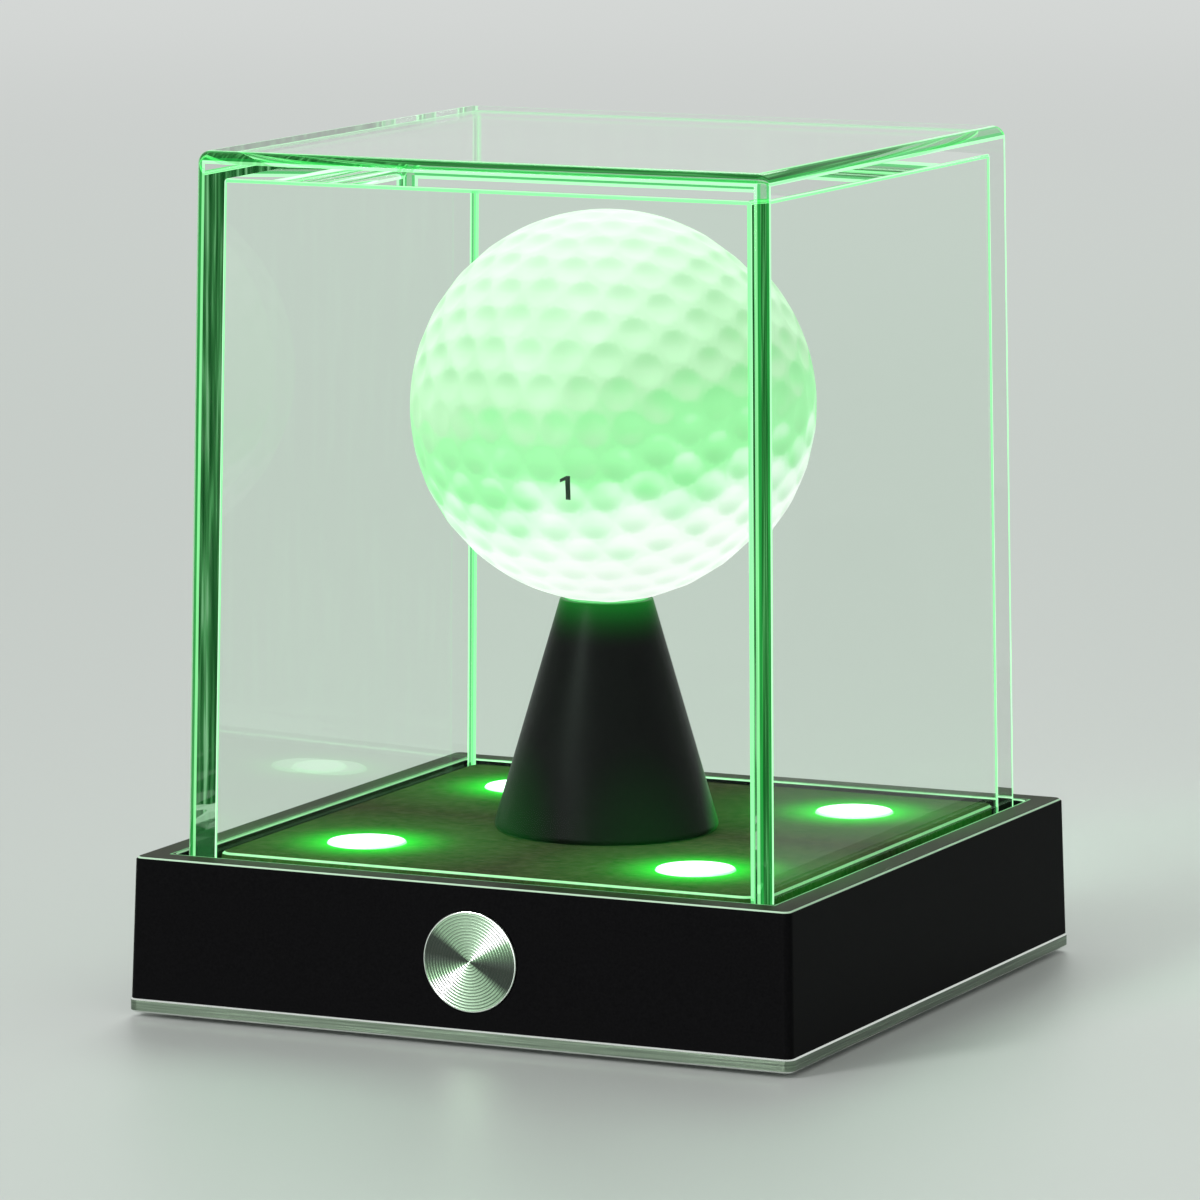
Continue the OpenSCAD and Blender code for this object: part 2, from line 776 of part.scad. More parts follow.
cover();
base_housing();
deck_panel();
trim_band();
bottom_cover();
bottom_screws();
feet();
lens(-1, -1);  // lens_front_left
lens(1, -1);  // lens_front_right
lens(-1, 1);  // lens_back_left
lens(1, 1);  // lens_back_right
lamp_led(-1, -1);  // led_front_left
lamp_led(1, -1);  // led_front_right
lamp_led(-1, 1);  // led_back_left
lamp_led(1, 1);  // led_back_right
lamp_board(-1);  // led_board_front
lamp_board(1);  // led_board_back
board_screws();
stand_cone();
stand_screws();
ball_seat();
stand_led();
stand_led_board();
stand_lead();
golf_ball();
button_cap();
button_stem();
switch_plunger();
switch_body();
switch_board();
battery_cell(-1);  // battery_cell_front
battery_cell(0);  // battery_cell_middle
battery_cell(1);  // battery_cell_back
battery_springs();
battery_contacts();
battery_door();
battery_leads();
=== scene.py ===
import math

import bmesh
import bpy
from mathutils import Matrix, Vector
from mathutils.geometry import intersect_line_sphere
from mathutils.kdtree import KDTree


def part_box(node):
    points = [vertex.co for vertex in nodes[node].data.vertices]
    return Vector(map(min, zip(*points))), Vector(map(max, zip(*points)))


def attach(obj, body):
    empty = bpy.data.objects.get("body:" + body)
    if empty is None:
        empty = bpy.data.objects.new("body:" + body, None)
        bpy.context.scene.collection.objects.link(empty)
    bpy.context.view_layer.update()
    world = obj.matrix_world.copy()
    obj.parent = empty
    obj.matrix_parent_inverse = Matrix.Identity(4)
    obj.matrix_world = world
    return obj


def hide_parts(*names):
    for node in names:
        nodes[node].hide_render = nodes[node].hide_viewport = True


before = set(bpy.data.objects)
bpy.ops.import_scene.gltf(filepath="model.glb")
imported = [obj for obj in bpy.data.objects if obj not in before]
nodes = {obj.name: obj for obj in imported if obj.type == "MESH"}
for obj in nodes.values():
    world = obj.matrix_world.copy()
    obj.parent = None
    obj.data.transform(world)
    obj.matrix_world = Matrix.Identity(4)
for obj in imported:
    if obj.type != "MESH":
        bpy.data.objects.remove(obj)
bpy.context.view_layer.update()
mm = 0.001
print("frame loaded:", len(nodes), "nodes")


# Helpers

def hexColour(code):
    parts = [int(code[i:i + 2], 16) / 255 for i in (1, 3, 5)]
    return [c / 12.92 if c <= 0.04045 else ((c + 0.055) / 1.055) ** 2.4 for c in parts] + [1.0]


def addNode(material, kind, inputs=None, **settings):
    node = material.node_tree.nodes.new("ShaderNode" + kind)
    for name, value in settings.items():
        setattr(node, name, value)
    for name, value in (inputs or {}).items():
        if isinstance(value, bpy.types.NodeSocket):
            material.node_tree.links.new(value, node.inputs[name])
        else:
            node.inputs[name].default_value = value
    return node


def newMaterial(name, **settings):
    # settings are sockets of the main shader, with spaces left out
    material = bpy.data.materials.new(name)
    material.use_nodes = True
    shader = material.node_tree.nodes["Principled BSDF"]
    sockets = {socket.name.replace(" ", ""): socket for socket in shader.inputs}
    for key, value in settings.items():
        sockets[key].default_value = value
    return material, shader


def link(material, output, target):
    material.node_tree.links.new(output, target)


def objectPoint(material, scale=(1, 1, 1)):
    # a point on the piece in metres, from the row's origin
    where = addNode(material, "TexCoord")
    return addNode(material, "Mapping", {"Vector": where.outputs["Object"], "Scale": scale}).outputs["Vector"]


noiseLow, noiseHigh = 0.3, 0.7  # noise mostly keeps between these


def addGrain(material, shader, size, depth, roughness, spread, detail=3.0):
    # fine surface grain: size and depth are real, spread is how much the roughness wanders
    noise = addNode(material, "TexNoise", {
        "Vector": objectPoint(material), "Scale": 1 / size, "Detail": detail, "Roughness": 0.6})
    bump = addNode(material, "Bump", {"Height": noise.outputs["Fac"], "Distance": depth, "Strength": 1.0})
    link(material, bump.outputs["Normal"], shader.inputs["Normal"])
    wander = addNode(material, "MapRange", {
        "Value": noise.outputs["Fac"], "From Min": noiseLow, "From Max": noiseHigh,
        "To Min": roughness - spread, "To Max": roughness + spread})
    link(material, wander.outputs["Result"], shader.inputs["Roughness"])
    return noise


def setRamp(ramp, tones):
    elements = ramp.color_ramp.elements
    while len(elements) < len(tones):
        elements.new(0.5)
    for element, (position, code) in zip(elements, tones):
        element.position = position
        element.color = hexColour(code)


def addTone(material, shader, noise, dark, light):
    # lets the colour wander between two tones
    ramp = addNode(material, "ValToRGB", {"Fac": noise.outputs["Fac"]})
    setRamp(ramp, ((noiseLow, dark), (noiseHigh, light)))
    link(material, ramp.outputs["Color"], shader.inputs["Base Color"])
    return ramp


def makePiece(name, bm, material, body, replaced=()):
    mesh = bpy.data.meshes.new(name)
    bm.to_mesh(mesh)
    bm.free()
    piece = bpy.data.objects.new(name, mesh)
    bpy.context.scene.collection.objects.link(piece)
    mesh.materials.append(material)
    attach(piece, body)
    if replaced:
        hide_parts(*replaced)


def paint(material, *names):
    for name in names:
        slots = nodes[name].data.materials
        slots.clear()
        slots.append(material)


def spinProfile(profile, centre, axis, steps):
    # turns (radius, height) points about an axis through centre
    bm = bmesh.new()
    turn = axis.to_track_quat("Z", "Y").to_matrix()
    made = [bm.verts.new(centre + turn @ Vector((radius, 0, height))) for radius, height in profile]
    edges = [bm.edges.new(pair) for pair in zip(made, made[1:])]
    bmesh.ops.spin(bm, geom=made + edges, cent=centre, axis=axis, angle=math.tau, steps=steps, use_merge=True)
    bmesh.ops.remove_doubles(bm, verts=bm.verts, dist=0.002 * mm)
    bmesh.ops.recalc_face_normals(bm, faces=bm.faces)
    for face in bm.faces:
        face.smooth = True
    return bm


# Places of the four deck lamps

lampNames = ["front_left", "front_right", "back_left", "back_right"]


def lampCentre(name):
    low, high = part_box("lens_" + name)
    return Vector(((low.x + high.x) / 2, (low.y + high.y) / 2, high.z))


# Camera, at the photo's angle

cameraView = {
    "place": Vector((349.4, -750.2, 164.15)) * mm,
    "yaw": math.radians(25.04),
    "pitch": math.radians(8.372),
    "lens": 230.9,
    "frame": 1200,  # the photo's side in pixels
}


def makeCamera():
    data = bpy.data.cameras.new("camera")
    data.lens = cameraView["lens"]
    data.sensor_width = 36
    data.clip_start = 0.05
    camera = bpy.data.objects.new("camera", data)
    yaw, pitch = cameraView["yaw"], cameraView["pitch"]
    look = Vector((-math.sin(yaw) * math.cos(pitch), math.cos(yaw) * math.cos(pitch), -math.sin(pitch)))
    camera.location = cameraView["place"]
    camera.rotation_euler = look.to_track_quat("-Z", "Y").to_euler()
    bpy.context.scene.collection.objects.link(camera)
    bpy.context.scene.camera = camera
    bpy.context.view_layer.update()
    return camera


def pixelRay(camera, x, y):
    half = cameraView["frame"] / 2
    reach = camera.data.lens / camera.data.sensor_width * cameraView["frame"]
    return camera.matrix_world.to_3x3() @ Vector((x - half, half - y, -reach))


camera = makeCamera()
print("camera placed")


# Finishes

def heightMask(material, low, high, soft):
    # 1 between two heights in metres, fading out over soft
    split = addNode(material, "SeparateXYZ", {"Vector": objectPoint(material)})
    rise = addNode(material, "MapRange", {
        "Value": split.outputs["Z"], "From Min": low - soft, "From Max": low})
    fall = addNode(material, "MapRange", {
        "Value": split.outputs["Z"], "From Min": high, "From Max": high + soft, "To Min": 1.0, "To Max": 0.0})
    both = addNode(material, "Math", {
        0: rise.outputs["Result"], 1: fall.outputs["Result"]}, operation="MULTIPLY")
    return both.outputs["Value"]


def squareMask(material, low, high):
    # 1 in a square ring about the middle, between two distances in metres
    split = addNode(material, "SeparateXYZ", {"Vector": objectPoint(material)})
    sides = [addNode(material, "Math", {0: split.outputs[axis]}, operation="ABSOLUTE") for axis in "XY"]
    away = addNode(material, "Math", {
        0: sides[0].outputs["Value"], 1: sides[1].outputs["Value"]}, operation="MAXIMUM")
    out = addNode(material, "Math", {0: away.outputs["Value"], 1: low}, operation="GREATER_THAN")
    inside = addNode(material, "Math", {0: away.outputs["Value"], 1: high}, operation="LESS_THAN")
    both = addNode(material, "Math", {
        0: out.outputs["Value"], 1: inside.outputs["Value"]}, operation="MULTIPLY")
    return both.outputs["Value"]


def glowNear(material, centres, near, far, power):
    # 1 at the distance near from any of the centres, falling to 0 at far
    point = objectPoint(material)
    total = None
    for centre in centres:
        away = addNode(material, "VectorMath", {0: point, 1: centre}, operation="DISTANCE")
        share = addNode(material, "MapRange", {
            "Value": away.outputs["Value"], "From Min": near, "From Max": far, "To Min": 1.0, "To Max": 0.0})
        if total is None:
            total = share.outputs["Result"]
        else:
            most = addNode(material, "Math", {0: share.outputs["Result"], 1: total}, operation="MAXIMUM")
            total = most.outputs["Value"]
    return addNode(material, "Math", {0: total, 1: power}, operation="POWER").outputs["Value"]


# A Mix node of two colours takes them at its inputs 6 and 7, and gives the result at its output 2.

paintedEdgeHighlights = {
    # painted highlights where the edges catch the light: how far below the top the strip starts and ends
    "housing": (0.17 * mm, 0.04 * mm),
    "deck": (0.24 * mm, 0.04 * mm),
    "mouth": 0.16 * mm,  # width of the strip round the rim's opening
    "band": 0.2 * mm,  # width at the top and foot of the trim band
    "soft": 0.02 * mm,
}

lampGlow = {
    "colour": "#00c42a",
    "close": (7.5 * mm, 2.5, 1.4),  # reach past a lens, how fast it fades, strength
    "wide": (22 * mm, 1.5, 0.3),
    "rim": (6 * mm, 24 * mm, 2.0, 0.36),  # on the housing: full here, gone there, how fast it fades, strength
}


def mouldedAbs():
    # ABS moulded in a spark eroded tool: near black, soft sheen, very fine texture
    material, shader = newMaterial("mouldedAbs", IOR=1.54, SpecularIORLevel=0.25)
    noise = addGrain(material, shader, 0.28 * mm, 0.004 * mm, 0.52, 0.05)
    addTone(material, shader, noise, "#1d1d1f", "#262628")
    return material


def satinHousing(rimHeight, mouth, centres):
    # the same ABS, with the deck's grain on the flat rim, a painted highlight along its edges, and painted
    # green lamp glow on the rim
    material, shader = newMaterial("satinHousing", IOR=1.54, SpecularIORLevel=0.01)
    noise = addGrain(material, shader, 0.28 * mm, 0.005 * mm, 0.38, 0.05)
    tone = addTone(material, shader, noise, "#0b0b0c", "#111112")
    grain = addTone(material, shader, noise, "#2b2c24", "#404236")
    rim = heightMask(material, rimHeight, rimHeight + mm, paintedEdgeHighlights["soft"])
    colour = addNode(material, "Mix", {
        0: rim, 6: tone.outputs["Color"], 7: grain.outputs["Color"]}, data_type="RGBA")
    # painted highlight along the outer top edge
    start, end = paintedEdgeHighlights["housing"]
    outerHighlight = heightMask(material, rimHeight - start, rimHeight - end, paintedEdgeHighlights["soft"])
    colour = addNode(material, "Mix", {
        0: outerHighlight, 6: colour.outputs[2], 7: hexColour("#c3e2c6")}, data_type="RGBA")
    # painted green highlight round the rim's opening
    mouthHighlight = squareMask(material, mouth, mouth + paintedEdgeHighlights["mouth"])
    lip = addNode(material, "Math", {0: mouthHighlight, 1: rim}, operation="MULTIPLY")
    colour = addNode(material, "Mix", {
        0: lip.outputs["Value"], 6: colour.outputs[2], 7: hexColour("#8fd699")}, data_type="RGBA")
    link(material, colour.outputs[2], shader.inputs["Base Color"])
    # painted glow: the lamps' green light on the rim, set as emission
    near, far, power, strength = lampGlow["rim"]
    share = glowNear(material, centres, near, far, power)
    gain = addNode(material, "Math", {0: share, 1: rim}, operation="MULTIPLY")
    gain = addNode(material, "Math", {0: gain.outputs["Value"], 1: strength}, operation="MULTIPLY")
    shader.inputs["Emission Color"].default_value = hexColour(lampGlow["colour"])
    link(material, gain.outputs["Value"], shader.inputs["Emission Strength"])
    return material


def polishedSteel():
    # stainless band, drawn lengthwise: faint streaks on its face, a green tint on the face that is painted
    # reflection, and a painted highlight along both edges
    material, shader = newMaterial("polishedSteel", Metallic=1.0)
    low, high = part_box("trim_band")
    edge = paintedEdgeHighlights["band"]
    # streaks about 11 mm long and 0.2 mm high
    point = objectPoint(material, (1, 1, 60))
    streaks = addNode(material, "TexNoise", {"Vector": point, "Scale": 90, "Detail": 4.0})
    wander = addNode(material, "MapRange", {
        "Value": streaks.outputs["Fac"], "From Min": noiseLow, "From Max": noiseHigh,
        "To Min": 0.14, "To Max": 0.32})
    link(material, wander.outputs["Result"], shader.inputs["Roughness"])
    face = addTone(material, shader, streaks, "#606d60", "#8c9e8a")
    # painted highlight: the strips at the top and foot are near white
    middle = heightMask(material, low.z + edge, high.z - edge, paintedEdgeHighlights["soft"])
    colour = addNode(material, "Mix", {
        0: middle, 6: hexColour("#f3f8f3"), 7: face.outputs["Color"]}, data_type="RGBA")
    link(material, colour.outputs[2], shader.inputs["Base Color"])
    return material


def powderCoat(top, centres):
    # black fine-structure powder coat: satin, lit green by the cup above it and the lamps round it
    material, shader = newMaterial("powderCoat", IOR=1.5, SpecularIORLevel=0.05)
    noise = addGrain(material, shader, 0.35 * mm, 0.006 * mm, 0.34, 0.05, 1.5)
    addTone(material, shader, noise, "#030403", "#080a09")
    reach, power, strength = coneShape["crownGlow"]
    crown = heightMask(material, top, top + mm, reach)
    lit = addNode(material, "Math", {0: crown, 1: power}, operation="POWER")
    lit = addNode(material, "Math", {0: lit.outputs["Value"], 1: strength}, operation="MULTIPLY")
    for name, centre in centres.items():
        share = glowNear(material, [centre], *coneShape["spillReach"])
        spill = addNode(material, "Math", {0: share, 1: coneShape["spill"][name]}, operation="MULTIPLY")
        lit = addNode(material, "Math", {
            0: lit.outputs["Value"], 1: spill.outputs["Value"]}, operation="MAXIMUM")
    shader.inputs["Emission Color"].default_value = hexColour("#0a9a28")
    link(material, lit.outputs["Value"], shader.inputs["Emission Strength"])
    return material


def spunAluminium(centre, faceRadius):
    # aluminium faced on a lathe: the light and dark fans its rings throw are painted highlight and shade that
    # meet in the middle, with painted shade in the grooves and a painted highlight round the rim
    material, shader = newMaterial("spunAluminium", Metallic=1.0, Roughness=0.24)
    where = addNode(material, "TexCoord")
    away = addNode(material, "VectorMath", {0: where.outputs["Object"], 1: centre}, operation="SUBTRACT")
    split = addNode(material, "SeparateXYZ", {"Vector": away.outputs["Vector"]})
    angle = addNode(material, "Math", {0: split.outputs["Z"], 1: split.outputs["X"]}, operation="ARCTAN2")
    turns = addNode(material, "Math", {0: angle.outputs["Value"], 1: 1 / math.pi}, operation="MULTIPLY")
    share = addNode(material, "Math", {0: turns.outputs["Value"]}, operation="FRACT")
    # painted highlight and shade, by the angle round the middle
    ramp = addNode(material, "ValToRGB", {"Fac": share.outputs["Value"]})
    setRamp(ramp, buttonShape["fans"])
    flat = addNode(material, "VectorMath", {0: away.outputs["Vector"], 1: (1, 0, 1)}, operation="MULTIPLY")
    radius = addNode(material, "VectorMath", {0: flat.outputs["Vector"]}, operation="LENGTH")
    wave = addNode(material, "Math", {
        0: radius.outputs["Value"], 1: math.tau / buttonShape["ringPitch"]}, operation="MULTIPLY")
    swing = addNode(material, "Math", {0: wave.outputs["Value"]}, operation="COSINE")
    start, dark = buttonShape["ringShade"]
    shade = addNode(material, "MapRange", {
        "Value": swing.outputs["Value"], "From Min": start, "From Max": 1.0, "To Min": 0.0, "To Max": dark})
    # painted shade in the rings' grooves
    rings = addNode(material, "Mix", {
        0: shade.outputs["Result"], 6: ramp.outputs["Color"], 7: hexColour("#39423b")}, data_type="RGBA")
    # painted highlight round the rim, outside the face
    rim = addNode(material, "Math", {0: radius.outputs["Value"], 1: faceRadius}, operation="GREATER_THAN")
    colour = addNode(material, "Mix", {
        0: rim.outputs["Value"], 6: rings.outputs[2], 7: hexColour("#f2fbf2")}, data_type="RGBA")
    link(material, colour.outputs[2], shader.inputs["Base Color"])
    return material


def grainedDeck(centres, lensRadius, top):
    # dark leather-cloth deck: fine pebble grain, lit green round each lens and along its cut edge
    material, shader = newMaterial("grainedDeck", IOR=1.5, SpecularIORLevel=0.002)
    # the real pebbles are about 0.4 mm, and are drawn twice as coarse so that they show
    noise = addGrain(material, shader, 0.85 * mm, 0.05 * mm, 0.7, 0.08, 5.0)
    tone = addTone(material, shader, noise, "#25231a", "#4a4634")
    start, end = paintedEdgeHighlights["deck"]
    edge = heightMask(material, top - start, top - end, paintedEdgeHighlights["soft"])
    colour = addNode(material, "Mix", {
        0: edge, 6: tone.outputs["Color"], 7: hexColour("#a9e0ae")}, data_type="RGBA")
    link(material, colour.outputs[2], shader.inputs["Base Color"])
    lobes = []
    for key in ("close", "wide"):
        reach, power, strength = lampGlow[key]
        share = glowNear(material, centres, lensRadius, lensRadius + reach, power)
        lobes.append(addNode(material, "Math", {0: share, 1: strength}, operation="MULTIPLY"))
    gain = addNode(material, "Math", {
        0: lobes[0].outputs["Value"], 1: lobes[1].outputs["Value"]}, operation="ADD")
    shader.inputs["Emission Color"].default_value = hexColour(lampGlow["colour"])
    link(material, gain.outputs["Value"], shader.inputs["Emission Strength"])
    return material


def litLens():
    # frosted polycarbonate lens over a green diode: white hot in the middle and green at its rim
    material, shader = newMaterial(
        "litLens", BaseColor=hexColour("#eafff0"), Roughness=0.35, IOR=1.58, EmissionStrength=1.9)
    rim = addNode(material, "Attribute", attribute_name="rim")
    ramp = addNode(material, "ValToRGB", {"Fac": rim.outputs["Fac"]})
    setRamp(ramp, ((0.0, "#cfffd4"), (0.8, "#cfffd4"), (0.95, "#6dff83"), (1.0, "#2fd24a")))
    link(material, ramp.outputs["Color"], shader.inputs["Emission Color"])
    return material


def milkyCup():
    # opal acrylic cup: glows green from the diode below it
    return newMaterial(
        "milkyCup", BaseColor=hexColour("#2c8f45"), Roughness=0.4, IOR=1.49,
        EmissionColor=hexColour("#1fae3f"), EmissionStrength=0.8)[0]


edgeGreen = {
    # strips of an edge from the middle of its rounding to the flat face: what shines through, and what glows
    "through": ((0.0, "#fafffb"), (0.12, "#8fd89b"), (0.45, "#35b24e"), (0.9, "#6fdf83"), (1.0, "#8df09c")),
    "glow": ((0.0, "#000000"), (0.12, "#0b3d16"), (0.45, "#1d7c35"), (0.9, "#5fc873"), (1.0, "#8ce39a")),
    "streaks": ((0.36, "#1c632c"), (0.5, "#3a8a48"), (0.6, "#5fbd6f"), (0.68, "#a4f3b0")),
    "streakWidth": 1.1 * mm,
    "streakLength": 0.08,  # how much the noise is squeezed along a streak
    "bar": "#c6ffcf",
    "barReach": 5 * mm,  # above the foot
    "barFade": 3 * mm,
    "barHeight": 1.6 * mm,
    "barLength": 0.1,
    "barGap": 0.56,  # level of the noise above which there is a bar
    "caught": (4.0, 7.0, 2.0),  # steps of light in the walls: from, to, and how fast the streaks come up
}


def clearAcrylic(foot, ceiling):
    # cast acrylic: clear, polished, and lit green where its edges gather the lamps' light.
    # Its IOR is lower than acrylic's 1.49, matched to how little the real walls bend and mirror the ball.
    material, shader = newMaterial(
        "clearAcrylic", Roughness=0.0, IOR=1.25, SpecularTint=[0.15, 0.15, 0.15, 1.0],
        TransmissionWeight=1.0, EmissionStrength=1.0)
    edge = addNode(material, "Attribute", attribute_name="edge")
    through = addNode(material, "ValToRGB", {"Fac": edge.outputs["Fac"]})
    setRamp(through, edgeGreen["through"])
    link(material, through.outputs["Color"], shader.inputs["Base Color"])
    rim = addNode(material, "ValToRGB", {"Fac": edge.outputs["Fac"]})
    setRamp(rim, edgeGreen["glow"])
    # light caught in the walls goes on from side to side and comes out in streaks along them
    along = edgeGreen["streakLength"]
    grains = []
    for stretch in ((1, 1, along), (along, along, 1)):
        noise = addNode(material, "TexNoise", {
            "Vector": objectPoint(material, stretch), "Scale": 1 / edgeGreen["streakWidth"], "Detail": 1.0})
        grains.append(noise.outputs["Fac"])
    # upright in the walls and level in the roof
    roof = heightMask(material, ceiling, ceiling + 10 * mm, 0.1 * mm)
    grain = addNode(material, "Mix", {0: roof, 6: grains[0], 7: grains[1]}, data_type="RGBA")
    streaks = addNode(material, "ValToRGB", {"Fac": grain.outputs[2]})
    setRamp(streaks, edgeGreen["streaks"])
    # near the foot, painted reflections of the groove's edges show as short bright bars
    along = edgeGreen["barLength"]
    noise = addNode(material, "TexNoise", {
        "Vector": objectPoint(material, (along, along, 1)), "Scale": 1 / edgeGreen["barHeight"],
        "Detail": 1.0})
    bars = addNode(material, "Math", {
        0: noise.outputs["Fac"], 1: edgeGreen["barGap"]}, operation="GREATER_THAN")
    low = heightMask(material, foot, foot + edgeGreen["barReach"], edgeGreen["barFade"])
    bars = addNode(material, "Math", {0: bars.outputs["Value"], 1: low}, operation="MULTIPLY")
    inside = addNode(material, "Mix", {
        0: bars.outputs["Value"], 6: streaks.outputs["Color"], 7: hexColour(edgeGreen["bar"])},
        data_type="RGBA")
    path = addNode(material, "LightPath")
    start, end, power = edgeGreen["caught"]
    caught = addNode(material, "MapRange", {
        "Value": path.outputs["Ray Depth"], "From Min": start, "From Max": end})
    caught = addNode(material, "Math", {0: caught.outputs["Result"], 1: power}, operation="POWER")
    glow = addNode(material, "Mix", {
        0: caught.outputs["Value"], 6: rim.outputs["Color"], 7: inside.outputs[2]}, data_type="RGBA")
    link(material, glow.outputs[2], shader.inputs["Emission Color"])
    clear = addNode(material, "BsdfTransparent", {"Color": hexColour("#f4fff8")})
    mix = addNode(material, "MixShader", {
        0: path.outputs["Is Shadow Ray"], 1: shader.outputs["BSDF"], 2: clear.outputs["BSDF"]})
    output = material.node_tree.nodes["Material Output"]
    link(material, mix.outputs["Shader"], output.inputs["Surface"])
    return material


def litBall(centreHeight, radius):
    # ionomer cover over a translucent core, lit from below: a dimple shows white on its upper side
    # in the lower half, and on its lower side in the upper half
    material, shader = newMaterial(
        "litBall", BaseColor=hexColour("#465049"), Roughness=0.45, IOR=1.5, SpecularIORLevel=0.3)
    where = addNode(material, "TexCoord")
    split = addNode(material, "SeparateXYZ", {"Vector": where.outputs["Object"]})
    # clouds about 9 mm wide
    cloud = addNode(material, "TexNoise", {"Vector": where.outputs["Object"], "Scale": 110, "Detail": 3.0})
    drift = addNode(material, "MapRange", {
        "Value": cloud.outputs["Fac"], "From Min": noiseLow, "From Max": noiseHigh,
        "To Min": -ballShape["drift"], "To Max": ballShape["drift"]})
    lit = addNode(material, "Attribute", attribute_name="underlit")
    steep = ballShape["steep"]
    start, end = ballShape["lift"]
    lift = addNode(material, "MapRange", {
        "Value": lit.outputs["Fac"], "From Min": -steep, "From Max": steep, "To Min": start, "To Max": end})
    leaning = addNode(material, "VectorMath", {
        0: where.outputs["Object"], 1: ballShape["lean"]}, operation="DOT_PRODUCT")
    height = addNode(material, "Math", {
        0: leaning.outputs["Value"], 1: drift.outputs["Result"]}, operation="ADD")
    height = addNode(material, "Math", {
        0: height.outputs["Value"], 1: lift.outputs["Result"]}, operation="ADD")
    level = addNode(material, "MapRange", {
        "Value": height.outputs["Value"],
        "From Min": centreHeight - radius, "From Max": centreHeight + radius})
    ramp = addNode(material, "ValToRGB", {"Fac": level.outputs["Result"]})
    setRamp(ramp, ballShape["tones"])
    below, above = ballShape["turn"]
    side = addNode(material, "MapRange", {
        "Value": split.outputs["Z"], "From Min": centreHeight + below, "From Max": centreHeight + above,
        "To Min": 1.0, "To Max": -1.2})
    facing = addNode(material, "Math", {
        0: lit.outputs["Fac"], 1: side.outputs["Result"]}, operation="MULTIPLY")
    dim, bright = ballShape["gain"]
    gain = addNode(material, "MapRange", {
        "Value": facing.outputs["Value"], "From Min": -steep, "From Max": steep,
        "To Min": dim, "To Max": bright})
    shade = addNode(material, "MapRange", {
        "Value": facing.outputs["Value"], "From Min": 0.0, "From Max": -steep,
        "To Min": 0.0, "To Max": ballShape["shade"]})
    colour = addNode(material, "Mix", {
        0: shade.outputs["Result"], 6: ramp.outputs["Color"], 7: hexColour("#7fdc86")}, data_type="RGBA")
    link(material, colour.outputs[2], shader.inputs["Emission Color"])
    link(material, gain.outputs["Result"], shader.inputs["Emission Strength"])
    return material


def printInk():
    # pad printing ink: dark grey green, satin
    material, shader = newMaterial("printInk", IOR=1.5)
    noise = addGrain(material, shader, 0.2 * mm, 0.003 * mm, 0.45, 0.08)
    addTone(material, shader, noise, "#14241a", "#1d3224")
    return material


def solderMask():
    # circuit board with a green lacquer over fibre cloth
    material, shader = newMaterial("solderMask", IOR=1.5, CoatWeight=0.4)
    noise = addGrain(material, shader, 0.5 * mm, 0.006 * mm, 0.35, 0.08)
    addTone(material, shader, noise, "#0f4526", "#17592f")
    return material


def zincSteel():
    # zinc plated steel of screws, springs and contact plates
    material, shader = newMaterial("zincSteel", Metallic=1.0)
    noise = addGrain(material, shader, 0.4 * mm, 0.004 * mm, 0.3, 0.08)
    addTone(material, shader, noise, "#a9abab", "#c4c5c3")
    return material


def softRubber():
    # die cut rubber feet: dull, slightly dusty
    material, shader = newMaterial("softRubber", IOR=1.52)
    noise = addGrain(material, shader, 0.35 * mm, 0.02 * mm, 0.8, 0.08)
    addTone(material, shader, noise, "#2a2a29", "#383836")
    return material


def leadSleeve():
    # PVC sleeve of the leads, smooth and glossy
    material, shader = newMaterial("leadSleeve", IOR=1.53)
    noise = addGrain(material, shader, 1.5 * mm, 0.003 * mm, 0.3, 0.06)
    addTone(material, shader, noise, "#7e1815", "#93221d")
    return material


def cellJacket():
    # shrunk film jacket round a cell, plain grey, with the bare steel ends left to the same tone
    material, shader = newMaterial("cellJacket", IOR=1.5, CoatWeight=0.3)
    noise = addGrain(material, shader, 2.0 * mm, 0.006 * mm, 0.34, 0.06)
    addTone(material, shader, noise, "#4c5157", "#5b6167")
    return material


def diodePackage():
    # white moulded diode package
    material, shader = newMaterial("diodePackage", IOR=1.5)
    noise = addGrain(material, shader, 0.4 * mm, 0.004 * mm, 0.4, 0.06)
    addTone(material, shader, noise, "#e9e9df", "#f6f6f0")
    return material


# Clear cover

coverShape = {
    "wall": 2.5 * mm,
    "roof": 3.0 * mm,
    "taper": 1.2 * mm,  # how much each side leans in
    "round": 1.3 * mm,
    "insideRound": 0.4 * mm,
    "segments": 6,
    "flat": 0.996,  # a face whose normal comes this near to an axis is a wall or the roof
    "strips": (0.96, 0.85),  # the same for the first strips of a rounded edge
    "edgeGlow": (1.0, 0.45, 0.12),  # of each strip, from the flat face to the middle of the rounding
    "insideGlow": 0.9,
    "footGlow": 0.6,
}


def taperedBox(bm, halfFoot, halfTop, foot, top, rounding):
    # a box open at the foot, with rounded upright and top edges
    made = bmesh.ops.create_cube(bm, size=1.0)["verts"]
    for vert in made:
        half, height = (halfTop, top) if vert.co.z > 0 else (halfFoot, foot)
        vert.co = Vector((math.copysign(half, vert.co.x), math.copysign(half, vert.co.y), height))
    floorFace = [f for f in bm.faces if all(abs(v.co.z - foot) < 0.001 * mm for v in f.verts)]
    bmesh.ops.delete(bm, geom=floorFace, context="FACES_ONLY")
    edges = [e for e in bm.edges if max(v.co.z for v in e.verts) > foot + mm]
    bmesh.ops.bevel(
        bm, geom=edges, offset=rounding, offset_type="OFFSET", affect="EDGES",
        segments=coverShape["segments"], profile=0.5, material=-1, clamp_overlap=True)


def markEdges(bm, inside):
    # how brightly each strip of a rounded edge glows, by the way it faces
    edge = bm.faces.layers.float.new("edge")
    for face in bm.faces:
        straight = max(abs(value) for value in face.normal)
        if straight > coverShape["flat"]:
            continue
        strip = sum(straight <= limit for limit in coverShape["strips"])
        face[edge] = coverShape["insideGlow"] if inside else coverShape["edgeGlow"][strip]


